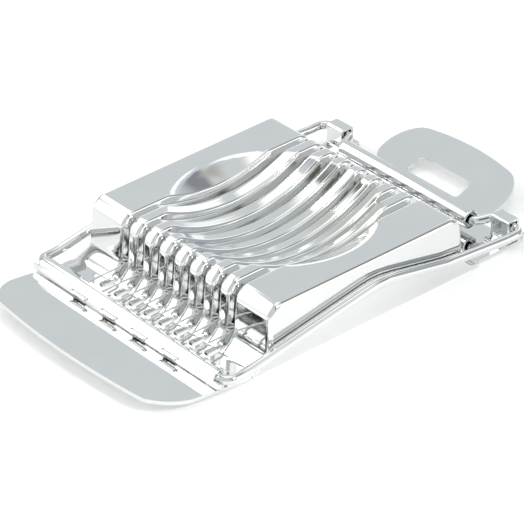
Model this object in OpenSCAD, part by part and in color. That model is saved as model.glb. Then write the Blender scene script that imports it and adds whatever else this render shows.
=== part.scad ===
// Egg slicer: a pressed steel base with slotted ribs over an egg cup, and a hinged
// frame that carries eight cutting wires down through the slots.
// X is the width, Y runs from the front tab to the rear tab, Z is up.
// The origin is under the middle of the whole base, on the surface it stands on.

/* [Base sheet] */
// Thickness of the base sheet
sheet_t = 0.9; // [0.7:0.1:1.2]
// Reach of the front tab from the middle of the egg cup
front_reach = 65; // [60:0.2:72]
// Reach of the rear tab from the middle of the egg cup
rear_reach = 67.6; // [66:0.2:80]
// Width of the front tab
front_tab_w = 66.2; // [65:0.2:68]
// Corner radius of the front tab
front_tab_r = 13; // [6:0.5:20]
// Upward slope of the front tab
front_tab_slope = 8; // [4:0.5:9]
// Width of the rear tab
rear_tab_w = 41.6; // [34:0.2:46]
// Corner radius of the rear tab
rear_tab_r = 11; // [5:0.5:16]
// Width of the neck between the hinge and the rear tab
neck_w = 32; // [28:0.5:34]
// Upward slope of the rear tab
rear_tab_slope = 19; // [8:1:20]
// Width of the window in the rear tab
window_w = 18.2; // [12:0.2:24]
// Length of the window in the rear tab
window_l = 6; // [4:0.2:8]

/* [Ribbed block] */
// Height of the block
block_h = 16.4; // [15:0.2:20]
// Length of the flat top of the block
block_l = 60; // [56:0.2:61]
// Width of the flat top at the front
block_w = 64.6; // [62:0.2:65]
// Extra width of the flat top at the rear
block_flare = 1.4; // [0:0.2:1.6]
// Lean of the front and rear walls
end_draft = 5; // [2:0.5:8]
// Lean of the side walls
side_draft = 2; // [1:0.5:2.5]
// Radius of the top edge at the front and rear
crest_r = 4; // [3:0.1:4.3]
// Radius of the top edge along the sides
side_edge_r = 1.2; // [1:0.1:2]
// Radius of the hollow where the end walls meet the sheet
foot_r = 5; // [3:0.5:6]

/* [Egg cup] */
// Length of the cup's rim across the block
cup_l = 52.4; // [46:0.2:56]
// Width of the cup's rim along the block
cup_w = 50.8; // [44:0.2:51.2]
// Depth of the cup
cup_d = 7.8; // [6:0.2:9]

/* [Ribs and slots] */
// Distance from one wire to the next
pitch = 5.5; // [4.8:0.1:5.6]
// Width of a slot
slot_w = 2; // [1.4:0.1:2.4]
// Thickness of the turned-down edge beside a slot
edge_t = 0.7; // [0.5:0.1:0.9]
// Depth of the turned-down edge, measured from the top of a rib
edge_d = 2.2; // [1.6:0.1:2.3]
// How far a slot runs past the foot of the block
slot_run = 1.5; // [0.5:0.5:3]

/* [Frame] */
// Diameter of the frame rod
rod_d = 2.4; // [2:0.1:2.8]
// Distance between the arms at the front crossbar, centre to centre
arm_gap_front = 68.6; // [68:0.2:72]
// Distance between the arms at the hinge, centre to centre
arm_gap_rear = 70.6; // [70:0.2:74]
// Centreline radius of the bends at the corners
bend_r = 2.5; // [2:0.1:3]
// Distance from the egg cup's middle to the front crossbar
bar_y = 45; // [43:0.5:47]
// Height of the front crossbar
bar_z = 4.1; // [3.8:0.1:5]
// Height of the arms at the top of their bow
bow_z = 11; // [8:0.5:13]
// Place of the top of the bow, behind the egg cup's middle
bow_y = 3; // [-5:1:10]
// Radius of the bends along the arms
bow_r = 25; // [10:5:30]
// Place where the arms level out behind the bow
level_y = 24; // [18:1:30]
// Height of the arms where they level out
level_z = 6.9; // [6:0.1:8]

/* [Wire holder] */
// Thickness of the holder's sheet
holder_t = 0.6; // [0.4:0.1:0.7]
// Length of the holder's front wall
holder_l = 68; // [60:0.5:68.5]
// Gap between the holder and the front tab under it
holder_gap = 0.3; // [0.3:0.1:0.6]
// Height of the wires where they pass through the holder
wire_z = 3.6; // [3.5:0.1:3.7]
// Diameter of a cutting wire
wire_d = 0.5; // [0.3:0.05:0.6]

/* [Hinge] */
// Distance from the egg cup's middle to the hinge line
hinge_y = 48.9; // [48:0.1:50]
// Height of the hinge line
hinge_z = 5.2; // [4.6:0.1:6]
// Diameter of the bar that anchors the wires behind the block
anchor_d = 5; // [4:0.1:5.2]
// How far the anchor bar lies in front of the hinge line
anchor_lead = 4.8; // [4.4:0.1:5.2]
// How far the anchor bar lies below the hinge line
anchor_drop = 0.4; // [0:0.1:0.8]
// Depth that the rod and the wires reach into the anchor bar
anchor_plug = 5; // [3:0.5:8]
// Width of a hinge clip
clip_w = 5.6; // [4:0.2:5.8]
// Thickness of a hinge clip's sheet
clip_t = 0.8; // [0.6:0.1:1]
// Length of a hinge clip's feet
clip_foot = 2.2; // [1.5:0.1:2.4]

/* [Fits] */
// Clearance between the rod and its hinge clips
hinge_fit = 0.08; // [0.05:0.01:0.1]
// Clearance round pieces that are pressed together
press_fit = 0.02; // [0.01:0.01:0.05]

/* [Hidden] */
$fn = 64;

steel = [0.78, 0.80, 0.82];
bright_steel = [0.86, 0.87, 0.88];
spring_steel = [0.62, 0.65, 0.68];
wire_steel = [0.90, 0.90, 0.88];

// ---- places worked out from the sizes above ----
mid_y = (rear_reach - front_reach) / 2;      // middle of the base, from the egg cup's middle
arm_xf = arm_gap_front / 2;
arm_xr = arm_gap_rear / 2;
top_half = block_l / 2;
wire_n = 8;
foot_y = wall_y(sheet_t + foot_r) + foot_r / cos(end_draft);   // where an end wall runs out into the sheet
front_bend_y = foot_y + 3;                   // where the front tab starts to rise
clip_side_gap = 0.4;                         // between a clip and the bend of the rod beside it
clip_out = arm_xr - bend_r - clip_side_gap;
clip_in = clip_out - clip_w;
ear_r = 2;                                   // corner radius of the hinge ears
ear_margin = 0.3;                            // sheet left behind a clip's foot
ear_x = clip_out + clip_side_gap;
ear_y = hinge_y + rod_d / 2 + hinge_fit + clip_t + clip_foot + ear_margin;
notch_x = clip_in - 1;                       // half width of the notch between the ears
notch_y = hinge_y + 0.6;                     // and its front edge
rear_bend_y = notch_y + 1.8;                 // where the rear tab starts to rise
rear_tab_heel_r = 5;                         // corner radius of the rear tab beside its neck
front_tab_bow_r = 3 * front_tab_w;           // slight bow of the front tab's edge
rear_tab_bow_r = 1.8 * rear_tab_w;
window_front_r = 1;
window_rear_r = 2;
bend_lap = 0.04;                             // reach of the straight rod into each bend
bend_swell = 0.01;                           // extra thickness of a bend
crank_r = 1.6;                               // radius of the two bends beside the anchor bar
crank_gap = 1;                               // straight length left before those bends' corners
arm_lead = 3;                                // level length at each end of an arm
anchor_y = hinge_y - anchor_lead;
anchor_z = hinge_z - anchor_drop;
anchor_margin = 3.35;                        // anchor bar left past the outermost wires
anchor_half = (wire_n - 1) / 2 * pitch + anchor_margin;
plug_gap = 0.2;                              // clearance past the end of the rod in the anchor bar
holder_in = rod_d / 2 + press_fit;
holder_out = holder_in + holder_t;
holder_y = -bar_y - holder_out;              // front face of the wire holder
holder_z = sheet_t + (-holder_y - front_bend_y) * tan(front_tab_slope) + holder_gap;
wire_hole = wire_d + 2 * press_fit;
wire_rise = atan((anchor_z - wire_z) / (anchor_y - holder_y));
slot_half = foot_y + slot_run;
window_y = rear_bend_y + 1.6;                // front edge of the window in the rear tab
wire_seat = (anchor_d - rod_d) / 2 - 0.3;    // depth of a wire's hole in the anchor bar
bar_reach = (anchor_y - holder_y) / cos(wire_rise) - anchor_d / 2;    // along a wire, to the bar's surface
wire_reach = bar_reach + wire_seat - press_fit - bend_lap;
loop_r = 0.4;                                // bend radius of a wire's front loop
loop_out = loop_r + 0.1;

// Egg cup: a piece of a ring surface that turns about a line along X above the block
cup_rise = ((cup_w / 2) * (cup_w / 2) / cup_d - cup_d) / 2;    // its axis, above the block's top
cup_r = cup_rise + cup_d;                                      // radius at the middle
cup_arc = ((cup_l / 2) * (cup_l / 2) + cup_d * cup_d) / (2 * cup_d);   // radius along its length

// Y of an end wall's outer face at height z
function wall_y(z) = top_half + (block_h - z) * tan(end_draft);
// X of a side wall's outer face at height z
function side_x(z) = block_w / 2 + (block_h - z) * tan(side_draft);
// X of the n-th wire, counted from the left
function wire_x(n) = (n - (wire_n + 1) / 2) * pitch;

// Rectangle from [x0, y0] to [x1, y1] with radius r0 on the two y0 corners and r1 on the y1 ones
module plate_outline(x0, y0, x1, y1, r0, r1) {
    intersection() {
        translate([x0, y0]) square([x1 - x0, y1 - y0]);
        union() {
            translate([x0 - 1, y0 + r0]) square([x1 - x0 + 2, y1 - y0 - r0 - r1]);
            translate([x0 + r0, y0]) square([x1 - x0 - 2 * r0, r0 + 0.01]);
            translate([x0 + r1, y1 - r1 - 0.01]) square([x1 - x0 - 2 * r1, r1 + 0.01]);
            for (x = [x0 + r0, x1 - r0]) translate([x, y0 + r0]) circle(r0);
            for (x = [x0 + r1, x1 - r1]) translate([x, y1 - r1]) circle(r1);
        }
    }
}

// Side outline of the block, d inside its outer face, drawn as [y, z]
module hill_outline(d) {
    foot_c = [foot_y, sheet_t + foot_r];
    crest_c = [wall_y(block_h - crest_r) - crest_r / cos(end_draft), block_h - crest_r];
    out = [cos(end_draft), sin(end_draft)];
    foot_p = foot_c - (foot_r + d) * out;
    crest_p = crest_c + (crest_r - d) * out;
    half = [[foot_c.x, -3], [foot_c.x, sheet_t - d], foot_p, crest_p, [crest_c.x, block_h - d]];
    other = [for (i = [len(half) - 1:-1:0]) [-half[i].x, half[i].y]];
    difference() {
        union() {
            polygon(concat(half, other));
            for (s = [-1, 1]) translate([s * crest_c.x, crest_c.y]) circle(crest_r - d);
        }
        for (s = [-1, 1]) translate([s * foot_c.x, foot_c.y]) circle(foot_r + d);
    }
}

// The same, as a bar of length w along X
module hill(d, w) {
    translate([-w / 2, 0, 0]) rotate([90, 0, 90]) linear_extrude(w) hill_outline(d);
}

// Everything inside the leaning side walls, d inside their outer faces
module between_sides(d) {
    edge_c = [side_x(block_h - side_edge_r) - side_edge_r / cos(side_draft), block_h - side_edge_r];
    out = [cos(side_draft), sin(side_draft)];
    low_x = side_x(-3) - d / cos(side_draft);
    intersection_for (s = [-1, 1])
        mirror([s < 0 ? 1 : 0, 0, 0])
            rotate([0, 0, -atan(block_flare / 2 / block_l)])
                translate([block_flare / 4, block_l, 0]) rotate([90, 0, 0]) linear_extrude(2 * block_l) {
                    polygon([[-block_w, -3], [low_x, -3], edge_c + (side_edge_r - d) * out,
                             [edge_c.x, block_h - d], [-block_w, block_h - d]]);
                    translate(edge_c) circle(side_edge_r - d);
                }
}

// The egg cup's hollow, made larger by d all round
module cup(d) {
    translate([0, 0, block_h + cup_rise]) rotate([0, 90, 0]) rotate_extrude($fn = 96)
        intersection() {
            translate([cup_r - cup_arc, 0]) circle(cup_arc + d);
            translate([0, -cup_l]) square([2 * cup_arc, 2 * cup_l]);
        }
}

// Slots for the wires, each made wider by grow on both sides
module slots(grow) {
    w = slot_w + 2 * grow;
    for (n = [1:wire_n]) translate([wire_x(n), 0, -4]) {
        translate([-w / 2, -slot_half, 0]) cube([w, 2 * slot_half, block_h + 8]);
        if (grow == 0)
            for (s = [-1, 1]) translate([0, s * slot_half, 0]) cylinder(d = w, h = block_h + 8);
    }
}

// Flat sheet in front of the block and behind it, with the ears that carry the hinge clips
module flat_sheet() {
    linear_extrude(sheet_t) {
        plate_outline(-front_tab_w / 2, -front_bend_y, front_tab_w / 2, -foot_y - 1.5, 0.01, 1.5);
        plate_outline(-side_x(0), -foot_y - 2, side_x(0), 3 - foot_y, 0.01, 0.01);
        plate_outline(-neck_w / 2, top_half - 2, neck_w / 2, rear_bend_y, 1, 0.01);
        difference() {
            plate_outline(-ear_x, top_half - 2, ear_x, ear_y, ear_r, ear_r);
            plate_outline(-notch_x, notch_y, notch_x, ear_y + 5, 1, 1);
        }
    }
}

// Front tab, bent up a little in front of the block
module front_tab() {
    l = (front_reach - front_bend_y) / cos(front_tab_slope);
    translate([0, -front_bend_y, 0]) rotate([-front_tab_slope, 0, 0]) linear_extrude(sheet_t)
        intersection() {
            plate_outline(-front_tab_w / 2, -l, front_tab_w / 2, 0, front_tab_r, 0.01);
            translate([0, front_tab_bow_r - l]) circle(front_tab_bow_r, $fn = 180);
        }
}

// Rear tab, bent up behind the hinge, with its window
module rear_tab() {
    l = (rear_reach - rear_bend_y) / cos(rear_tab_slope);
    w0 = (window_y - rear_bend_y) / cos(rear_tab_slope);
    translate([0, rear_bend_y, 0]) rotate([rear_tab_slope, 0, 0]) linear_extrude(sheet_t) difference() {
        intersection() {
            union() {
                plate_outline(-neck_w / 2, -0.01, neck_w / 2, l / 2, 0.01, 0.01);
                plate_outline(-rear_tab_w / 2, 0.2, rear_tab_w / 2, l, rear_tab_heel_r, rear_tab_r);
            }
            translate([0, l - rear_tab_bow_r]) circle(rear_tab_bow_r, $fn = 180);
        }
        plate_outline(-window_w / 2, w0, window_w / 2, w0 + window_l, window_front_r, window_rear_r);
    }
}

module base_sheet() {
    difference() {
        union() {
            difference() {
                intersection() {
                    hill(0, 3 * block_w);
                    between_sides(0);
                    translate([-block_w, -block_l, 0]) cube([2 * block_w, 2 * block_l, 2 * block_h]);
                }
                cup(0);
            }
            flat_sheet();
            front_tab();
            rear_tab();
        }
        difference() {
            intersection() {
                hill(sheet_t, 3 * block_w);
                between_sides(sheet_t);
            }
            cup(sheet_t);
            slots(edge_t);
        }
        difference() {
            hill(edge_d, (wire_n + 1) * pitch);
            cup(edge_d);
        }
        slots(0);
    }
}

module base_plate() {
    color(steel) place() base_sheet();
}

// Moves a piece from the egg cup's middle to the middle of the base
module place() {
    translate([0, -mid_y, 0]) children();
}

// Folded clip that holds one end of the hinge rod down on the base
module hinge_clip() {
    in = rod_d / 2 + hinge_fit;
    out = in + clip_t;
    top = hinge_z + out;
    translate([clip_in, hinge_y, 0]) rotate([90, 0, 90]) linear_extrude(clip_w) {
        difference() {
            plate_outline(-out, sheet_t, out, top, 0.01, clip_t);
            translate([0, hinge_z]) circle(in);
            translate([-in, 0]) square([2 * in, hinge_z]);
        }
        for (s = [-1, 1])
            translate([s * (out + clip_foot / 2 - 0.05) - clip_foot / 2 - 0.05, sheet_t])
                square([clip_foot + 0.1, clip_t]);
    }
}

module hinge_clip_left() {
    color(bright_steel) place() mirror([1, 0, 0]) hinge_clip();
}

module hinge_clip_right() {
    color(bright_steel) place() hinge_clip();
}

// Round rod of diameter d through the points pts of the XY plane, bent at radius r at each corner
module bent_rod(pts, r, d) {
    n = len(pts) - 1;
    head = [for (i = [1:n]) atan2(pts[i].y - pts[i - 1].y, pts[i].x - pts[i - 1].x)];
    cut = [for (i = [0:n]) i == 0 || i == n ? 0 : r * tan(abs(head[i] - head[i - 1]) / 2)];
    for (i = [0:n - 1])
        translate(pts[i] + (cut[i] - bend_lap) * [cos(head[i]), sin(head[i])]) rotate([90, 0, head[i] + 90])
            cylinder(d = d, h = norm(pts[i + 1] - pts[i]) - cut[i] - cut[i + 1] + 2 * bend_lap);
    for (i = [1:n - 1]) {
        side = head[i] > head[i - 1] ? 1 : -1;
        start = pts[i] - cut[i] * [cos(head[i - 1]), sin(head[i - 1])];
        translate(start + side * r * [-sin(head[i - 1]), cos(head[i - 1])])
            rod_bend(r, d, head[i - 1] - 90 * side, abs(head[i] - head[i - 1]), side);
    }
}

// Bend of radius r that starts at angle a and turns through angle turn, on one side or the other.
// It is a hair thicker than the straight rod, whose ends reach into it.
module rod_bend(r, d, a, turn, side = 1) {
    rotate([0, 0, a]) mirror([0, side < 0 ? 1 : 0, 0])
        rotate_extrude(angle = turn) translate([r, 0]) circle(d = d + bend_swell);
}

// Right half of the frame rod, from the middle of the crossbar to its plug in the anchor bar
module half_frame() {
    front_c = [arm_xf - bend_r, bend_r - bar_y];
    rear_c = [arm_xr - bend_r, hinge_y - bend_r];
    splay = atan((rear_c.x - front_c.x) / (rear_c.y - front_c.y));
    arm_l = norm(rear_c - front_c);
    crank = [anchor_y - hinge_y, anchor_z - hinge_z];

    translate([-bend_lap, -bar_y, bar_z]) rotate([0, 90, 0]) cylinder(d = rod_d, h = front_c.x + 2 * bend_lap);
    translate([front_c.x, front_c.y, bar_z]) rod_bend(bend_r, rod_d, -90, 90 - splay);
    translate([front_c.x, front_c.y, 0]) rotate([0, 0, -splay]) translate([bend_r, 0, 0]) rotate([90, 0, 90])
        bent_rod([[0, bar_z], [arm_lead, bar_z], [bow_y - front_c.y, bow_z], [level_y - front_c.y, level_z],
                  [arm_l - arm_lead, hinge_z], [arm_l, hinge_z]], bow_r, rod_d);
    translate([rear_c.x, rear_c.y, hinge_z]) rod_bend(bend_r, rod_d, -splay, 90 + splay);
    translate([0, hinge_y, hinge_z]) rotate([atan2(crank.y, crank.x), 0, 0])
        bent_rod([[rear_c.x, 0], [clip_in - crank_gap, 0], [anchor_half + crank_gap, norm(crank)],
                  [anchor_half - anchor_plug, norm(crank)]], crank_r, rod_d);
}

// The whole rod, with a small hole through the crossbar for each wire
module frame_rod() {
    color(spring_steel) place() difference() {
        for (s = [0, 1]) mirror([s, 0, 0]) half_frame($fn = 36);
        for (n = [1:wire_n]) on_wire(n) cylinder(d = wire_hole, h = 2 * holder_out, $fn = 24);
    }
}

// Places its children on each wire's line, at the holder's front face, pointing to the anchor bar
module on_wire(n) {
    translate([wire_x(n), holder_y, wire_z]) rotate([wire_rise - 90, 0, 0]) children();
}

// Folded strip that hangs from the crossbar and holds the front ends of the wires
module wire_holder() {
    curl_l = 2 * (arm_xf - bend_r - bend_lap);
    color(bright_steel) place() difference() {
        union() {
            translate([-holder_l / 2, 0, 0]) rotate([90, 0, 90]) linear_extrude(holder_l)
                plate_outline(holder_y, holder_z, holder_y + holder_t, bar_z, 0.2, 0.01);
            translate([-curl_l / 2, 0, 0]) rotate([90, 0, 90]) linear_extrude(curl_l)
                difference() {
                    translate([-bar_y, bar_z]) circle(holder_out);
                    translate([-bar_y, bar_z]) circle(holder_in);
                    translate([-bar_y - 2 * holder_out, bar_z - 2 * holder_out]) square([4 * holder_out, 2 * holder_out]);
                }
        }
        for (n = [1:wire_n]) on_wire(n) translate([0, 0, -1]) cylinder(d = wire_hole, h = 2 * holder_t + 1);
    }
}

module anchor_bar() {
    color(steel) place() difference() {
        translate([-anchor_half, anchor_y, anchor_z]) rotate([0, 90, 0]) cylinder(d = anchor_d, h = 2 * anchor_half);
        for (s = [0, 1]) mirror([s, 0, 0])
            translate([anchor_half - anchor_plug - plug_gap, anchor_y, anchor_z]) rotate([0, 90, 0])
                cylinder(d = rod_d + 2 * press_fit, h = anchor_plug + 1);
        for (n = [1:wire_n]) on_wire(n) translate([0, 0, bar_reach - 0.5])
            cylinder(d = wire_hole, h = 0.5 + wire_seat);
    }
}

// The wires lie in one plane; y runs along them from the holder's front face to the anchor bar
module wire_plane() {
    color(wire_steel) place() translate([0, holder_y, wire_z]) rotate([wire_rise, 0, 0]) children();
}

// Two neighbouring wires made as one, looped over the front of the holder
module wire_pair(n) {
    wire_plane() bent_rod([[wire_x(n), wire_reach], [wire_x(n), -loop_out], [wire_x(n + 1), -loop_out],
                           [wire_x(n + 1), wire_reach]], loop_r, wire_d, $fn = 24);
}

module wire_pair_1() { wire_pair(1); }

module wire_pair_2() { wire_pair(3); }

module wire_pair_3() { wire_pair(5); }

module wire_pair_4() { wire_pair(7); }

base_plate();
hinge_clip_left();
hinge_clip_right();
frame_rod();
wire_holder();
anchor_bar();
wire_pair_1();
wire_pair_2();
wire_pair_3();
wire_pair_4();
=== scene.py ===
"""Egg slicer in polished stainless steel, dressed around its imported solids.

The pressed base, the hinge clips, the hinged rod frame and its wires are modelled
here as smooth sheet and rod work, and each one stands for the solid that it covers.
"""

from __future__ import annotations

import logging
import math
from dataclasses import dataclass, field
from enum import Enum
from typing import Sequence

import bmesh
import bpy
from mathutils import Matrix, Vector


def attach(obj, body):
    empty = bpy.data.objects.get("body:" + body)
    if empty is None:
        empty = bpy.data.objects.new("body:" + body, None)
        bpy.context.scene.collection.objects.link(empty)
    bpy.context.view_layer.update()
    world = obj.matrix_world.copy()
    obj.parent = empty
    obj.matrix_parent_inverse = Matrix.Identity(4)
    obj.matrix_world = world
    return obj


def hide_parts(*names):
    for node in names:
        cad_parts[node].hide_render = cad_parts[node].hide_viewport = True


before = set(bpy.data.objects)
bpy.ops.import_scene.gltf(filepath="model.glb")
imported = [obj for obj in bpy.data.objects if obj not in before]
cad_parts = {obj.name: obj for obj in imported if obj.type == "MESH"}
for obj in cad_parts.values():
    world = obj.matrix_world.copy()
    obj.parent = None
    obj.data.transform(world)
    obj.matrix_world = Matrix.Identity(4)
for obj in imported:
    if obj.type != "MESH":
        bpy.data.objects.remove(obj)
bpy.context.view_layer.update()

log = logging.getLogger("egg_slicer")

MM = 0.001
MID_Y = 1.3  # the middle of the base lies this far behind the egg cup's middle

# Sizes that more than one piece shares, in millimetres.
PITCH = 5.5
WIRES = 8
SHEET = 0.9
HINGE_Y = 48.9
HINGE_Z = 5.2

# Colour sockets of a Mix node, which have no names of their own.
MIX_BEHIND, MIX_FRONT, MIX_RESULT = 6, 7, 2


def math_node(tree: bpy.types.NodeTree, operation: str,
              *values: float | bpy.types.NodeSocket) -> bpy.types.NodeSocket:
    """Adds a Math node.

    Args:
        tree: the nodes that it joins.
        operation: what it works out.
        values: a number or a socket to link, for each input.

    Returns:
        Its result.
    """
    node = tree.nodes.new("ShaderNodeMath")
    node.operation = operation
    for socket, value in zip(node.inputs, values):
        if isinstance(value, bpy.types.NodeSocket):
            tree.links.new(value, socket)
        else:
            socket.default_value = value
    return node.outputs[0]


def round_off(bm: bmesh.types.BMesh, geom: Sequence, radius: float, segments: int,
              affect: str = "EDGES") -> None:
    """Rounds edges, or the corners of a flat face.

    Args:
        bm: the shape.
        geom: the edges or vertices.
        radius: how far the rounding reaches.
        segments: how many steps it has.
        affect: "EDGES" or "VERTICES".
    """
    bmesh.ops.bevel(bm, geom=geom, offset=radius, affect=affect, segments=segments, profile=0.5,
                    material=-1, clamp_overlap=False)


def fresh_verts(made: Sequence) -> list[bmesh.types.BMVert]:
    """Gives the vertices among what an extrusion made."""
    return [v for v in made if isinstance(v, bmesh.types.BMVert)]


class Body(Enum):
    """The moving bodies of the slicer."""

    BASE = "base"
    FRAME = "frame"


class Slot(Enum):
    """The finishes that the record names."""

    SHEET = "polished_sheet"
    ROD = "polished_rod"
    WIRE = "cutting_wire"


class RowKind(Enum):
    """The parts of the sheet that a row may lie on."""

    TAB = "tab"
    FLAT = "flat"
    END = "slot end"
    BLOCK = "block"
    TOP = "top"


class ColumnKind(Enum):
    """What a column of the sheet follows."""

    MIDDLE = "middle rib"
    SLOT = "slot"
    RIB = "rib"
    OUTER = "outer"


@dataclass(frozen=True)
class SteelFinish:
    """Polished steel with fine scratches, faint smears and a slight waviness."""

    name: str
    colour: tuple[float, float, float]
    roughness: float
    smear: float
    wave_height: float
    scratch_height: float = 0.000002
    smear_scale: float = 90.0
    smear_range: tuple[float, float] = (0.35, 0.75)
    tint_range: tuple[float, float] = (0.3, 0.7)
    tint_dark: float = 0.965
    scratch_stretch: tuple[float, float, float] = (2600.0, 140.0, 900.0)
    scratch_turn: float = math.radians(7.0)
    scratch_strength: float = 0.35
    wave_scale: float = 55.0

    def material(self) -> bpy.types.Material:
        """Makes the material.

        Returns:
            The node material, reading Object coordinates.
        """
        mat = bpy.data.materials.new(self.name)
        mat.use_nodes = True
        tree = mat.node_tree
        nodes, links = tree.nodes, tree.links
        shader = nodes["Principled BSDF"]
        shader.inputs["Metallic"].default_value = 1.0
        place = nodes.new("ShaderNodeTexCoord").outputs["Object"]

        smear = self.noise(tree, place, self.smear_scale, 5.0)
        rough = nodes.new("ShaderNodeMapRange")
        rough.inputs["To Min"].default_value = self.roughness
        rough.inputs["To Max"].default_value = self.roughness + self.smear
        rough.inputs["From Min"].default_value = self.smear_range[0]
        rough.inputs["From Max"].default_value = self.smear_range[1]
        links.new(smear, rough.inputs["Value"])
        links.new(rough.outputs["Result"], shader.inputs["Roughness"])

        tint = nodes.new("ShaderNodeValToRGB")
        for stop, position, share in zip(tint.color_ramp.elements, self.tint_range, (self.tint_dark, 1.0)):
            stop.position = position
            stop.color = (*[c * share for c in self.colour], 1.0)
        links.new(smear, tint.inputs["Fac"])
        links.new(tint.outputs["Color"], shader.inputs["Base Color"])

        stretch = nodes.new("ShaderNodeMapping")
        stretch.inputs["Scale"].default_value = self.scratch_stretch
        stretch.inputs["Rotation"].default_value = (0.0, 0.0, self.scratch_turn)
        links.new(place, stretch.inputs["Vector"])
        scratch = self.noise(tree, stretch.outputs["Vector"], 1.0, 2.0)
        wave = self.noise(tree, place, self.wave_scale, 1.0)
        fine = self.bump(tree, scratch, self.scratch_height, self.scratch_strength)
        broad = self.bump(tree, wave, self.wave_height, 1.0)
        links.new(fine.outputs["Normal"], broad.inputs["Normal"])
        links.new(broad.outputs["Normal"], shader.inputs["Normal"])
        return mat

    @staticmethod
    def noise(tree: bpy.types.NodeTree, place: bpy.types.NodeSocket, scale: float,
              detail: float) -> bpy.types.NodeSocket:
        """Adds a noise pattern.

        Args:
            tree: the nodes that it joins.
            place: the coordinates that it follows.
            scale: how fine it is.
            detail: how many finer layers it has.

        Returns:
            The pattern.
        """
        node = tree.nodes.new("ShaderNodeTexNoise")
        node.inputs["Scale"].default_value = scale
        node.inputs["Detail"].default_value = detail
        tree.links.new(place, node.inputs["Vector"])
        return node.outputs["Fac"]

    @staticmethod
    def bump(tree: bpy.types.NodeTree, height: bpy.types.NodeSocket, distance: float,
             strength: float) -> bpy.types.Node:
        """Adds a bump.

        Args:
            tree: the nodes that it joins.
            height: the pattern that it raises.
            distance: its height, in metres.
            strength: its share of that height.

        Returns:
            The node.
        """
        node = tree.nodes.new("ShaderNodeBump")
        node.inputs["Distance"].default_value = distance
        node.inputs["Strength"].default_value = strength
        tree.links.new(height, node.inputs["Height"])
        return node


@dataclass(frozen=True)
class Panel:
    """A far-off panel of the studio with soft edges; its angles are in degrees."""

    azimuth: float
    elevation: float
    half_width: float
    half_height: float
    colour: tuple[float, float, float]
    softness: float = 3.0

    def hang(self, tree: bpy.types.NodeTree, turn: bpy.types.NodeSocket,
             height: bpy.types.NodeSocket, behind: bpy.types.NodeSocket) -> bpy.types.NodeSocket:
        """Adds the panel in front of what is there.

        Args:
            tree: the nodes of the surroundings.
            turn: azimuth of a direction, in radians from the rear towards the right.
            height: its elevation, in radians.
            behind: the colour so far.

        Returns:
            The colour with the panel.
        """
        shares = []
        for angle, middle, half in ((turn, self.azimuth, self.half_width),
                                    (height, self.elevation, self.half_height)):
            off = math_node(tree, "ABSOLUTE", math_node(tree, "SUBTRACT", angle, math.radians(middle)))
            share = tree.nodes.new("ShaderNodeMapRange")
            share.interpolation_type = "SMOOTHSTEP"
            share.inputs["From Min"].default_value = math.radians(half + self.softness)
            share.inputs["From Max"].default_value = math.radians(half - self.softness)
            tree.links.new(off, share.inputs["Value"])
            shares.append(share.outputs["Result"])
        mix = tree.nodes.new("ShaderNodeMix")
        mix.data_type = "RGBA"
        tree.links.new(math_node(tree, "MULTIPLY", *shares), mix.inputs["Factor"])
        tree.links.new(behind, mix.inputs[MIX_BEHIND])
        mix.inputs[MIX_FRONT].default_value = (*self.colour, 1.0)
        return mix.outputs[MIX_RESULT]


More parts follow.
